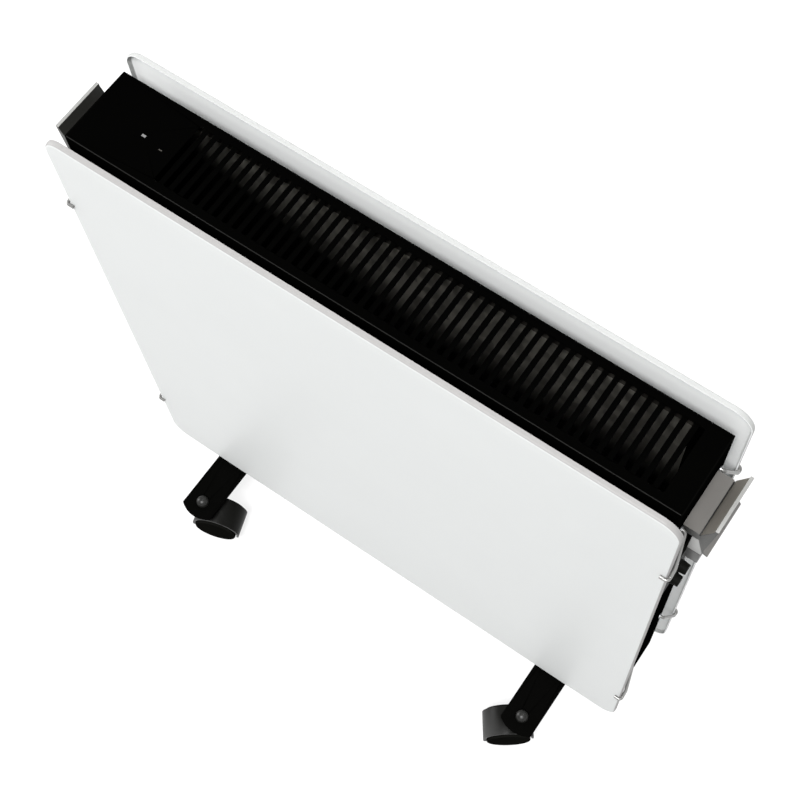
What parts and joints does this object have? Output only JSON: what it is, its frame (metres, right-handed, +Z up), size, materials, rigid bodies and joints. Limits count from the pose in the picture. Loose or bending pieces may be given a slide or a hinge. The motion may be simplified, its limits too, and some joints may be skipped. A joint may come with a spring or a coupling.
{
  "type": "convector heater",
  "caption": "Free-standing convector heater: slim slotted black casing between two larger white panels, a handle on each end, and foot bars on hooded twin-wheel casters",
  "frame": {"origin": "on the floor, under the middle of the heater", "axes": "+X along the length towards the controls, -Y the front, +Z up"},
  "size_m": [0.656, 0.3012, 0.699],
  "materials": {
    "white_enamel": "satin",
    "black_enamel": "satin",
    "bright_wire": "polished",
    "anodised_aluminium": "satin",
    "saddle_plastic": "satin",
    "black_plastic": "satin",
    "pale_plastic": "matte",
    "white_lens": "gloss",
    "amber_lens": "gloss",
    "element_aluminium": "satin",
    "bare_steel": "satin",
    "zinc_steel": "satin"
  },
  "bodies": {
    "heater": {"front_panel": "white_enamel", "rear_panel": "white_enamel", "casing_wrap": "black_enamel", "left_end_cap": "black_enamel", "right_end_cap": "black_enamel", "bottom_grille": "black_enamel", "left_foot_bar": "black_enamel", "right_foot_bar": "black_enamel", "stem_nuts": "black_enamel", "casing_screws": "black_enamel", "front_panel_hooks": "bright_wire", "rear_panel_hooks": "bright_wire", "left_handle": "anodised_aluminium", "right_handle": "anodised_aluminium", "left_handle_saddle": "saddle_plastic", "right_handle_saddle": "saddle_plastic", "control_bezel": "black_plastic", "thermostat_body": "black_plastic", "selector_body": "black_plastic", "cord_gland": "black_plastic", "front_panel_spacers": "black_plastic", "rear_panel_spacers": "black_plastic", "tip_switch": "black_plastic", "terminal_block": "pale_plastic", "power_lens": "white_lens", "heat_lens": "amber_lens", "heating_element": "element_aluminium", "heating_rod": "bare_steel", "element_brackets": "bare_steel", "front_baffle": "bare_steel", "rear_baffle": "bare_steel", "thermal_cutout": "bare_steel", "hook_sockets": "zinc_steel", "foot_screws": "zinc_steel", "foot_nuts": "zinc_steel", "handle_screws": "zinc_steel", "caster_stems": "zinc_steel"},
    "front_left_swivel": {"front_left_caster_hood": "black_plastic", "front_left_caster_axle": "zinc_steel"},
    "front_left_wheel_a": {"front_left_wheel_a": "black_plastic"},
    "front_left_wheel_b": {"front_left_wheel_b": "black_plastic"},
    "front_right_swivel": {"front_right_caster_hood": "black_plastic", "front_right_caster_axle": "zinc_steel"},
    "front_right_wheel_a": {"front_right_wheel_a": "black_plastic"},
    "front_right_wheel_b": {"front_right_wheel_b": "black_plastic"},
    "rear_left_swivel": {"rear_left_caster_hood": "black_plastic", "rear_left_caster_axle": "zinc_steel"},
    "rear_left_wheel_a": {"rear_left_wheel_a": "black_plastic"},
    "rear_left_wheel_b": {"rear_left_wheel_b": "black_plastic"},
    "rear_right_swivel": {"rear_right_caster_hood": "black_plastic", "rear_right_caster_axle": "zinc_steel"},
    "rear_right_wheel_a": {"rear_right_wheel_a": "black_plastic"},
    "rear_right_wheel_b": {"rear_right_wheel_b": "black_plastic"},
    "thermostat_knob": {"thermostat_knob": "black_plastic", "thermostat_spindle": "bare_steel"},
    "selector_knob": {"selector_knob": "black_plastic", "selector_spindle": "bare_steel"}
  },
  "joints": [
    {"name": "front_left_swivel", "type": "hinge", "parent": "heater", "child": "front_left_swivel", "pos_m": [-0.226, -0.112, 0.049], "axis": [0, 0, 1], "continuous": true},
    {"name": "front_left_wheel_a_roll", "type": "hinge", "parent": "front_left_swivel", "child": "front_left_wheel_a", "pos_m": [-0.21192, -0.10743, 0.025], "axis": [0.309, -0.9511, 0], "continuous": true},
    {"name": "front_left_wheel_b_roll", "type": "hinge", "parent": "front_left_swivel", "child": "front_left_wheel_b", "pos_m": [-0.21192, -0.10743, 0.025], "axis": [0.309, -0.9511, 0], "continuous": true},
    {"name": "front_right_swivel", "type": "hinge", "parent": "heater", "child": "front_right_swivel", "pos_m": [0.226, -0.112, 0.049], "axis": [0, 0, 1], "continuous": true},
    {"name": "front_right_wheel_a_roll", "type": "hinge", "parent": "front_right_swivel", "child": "front_right_wheel_a", "pos_m": [0.21403, -0.1207, 0.025], "axis": [-0.5878, 0.809, 0], "continuous": true},
    {"name": "front_right_wheel_b_roll", "type": "hinge", "parent": "front_right_swivel", "child": "front_right_wheel_b", "pos_m": [0.21403, -0.1207, 0.025], "axis": [-0.5878, 0.809, 0], "continuous": true},
    {"name": "rear_left_swivel", "type": "hinge", "parent": "heater", "child": "rear_left_swivel", "pos_m": [-0.226, 0.112, 0.049], "axis": [0, 0, 1], "continuous": true},
    {"name": "rear_left_wheel_a_roll", "type": "hinge", "parent": "rear_left_swivel", "child": "rear_left_wheel_a", "pos_m": [-0.21403, 0.1207, 0.025], "axis": [0.5878, -0.809, 0], "continuous": true},
    {"name": "rear_left_wheel_b_roll", "type": "hinge", "parent": "rear_left_swivel", "child": "rear_left_wheel_b", "pos_m": [-0.21403, 0.1207, 0.025], "axis": [0.5878, -0.809, 0], "continuous": true},
    {"name": "rear_right_swivel", "type": "hinge", "parent": "heater", "child": "rear_right_swivel", "pos_m": [0.226, 0.112, 0.049], "axis": [0, 0, 1], "continuous": true},
    {"name": "rear_right_wheel_a_roll", "type": "hinge", "parent": "rear_right_swivel", "child": "rear_right_wheel_a", "pos_m": [0.21192, 0.10743, 0.025], "axis": [-0.309, 0.9511, 0], "continuous": true},
    {"name": "rear_right_wheel_b_roll", "type": "hinge", "parent": "rear_right_swivel", "child": "rear_right_wheel_b", "pos_m": [0.21192, 0.10743, 0.025], "axis": [-0.309, 0.9511, 0], "continuous": true},
    {"name": "thermostat_turn", "type": "hinge", "parent": "heater", "child": "thermostat_knob", "pos_m": [0.3035, 0.0066, 0.454], "axis": [-1, 0, 0], "range_deg": [0, 270]},
    {"name": "selector_turn", "type": "hinge", "parent": "heater", "child": "selector_knob", "pos_m": [0.3035, -0.0066, 0.454], "axis": [-1, 0, 0], "range_deg": [0, 135]}
  ]
}
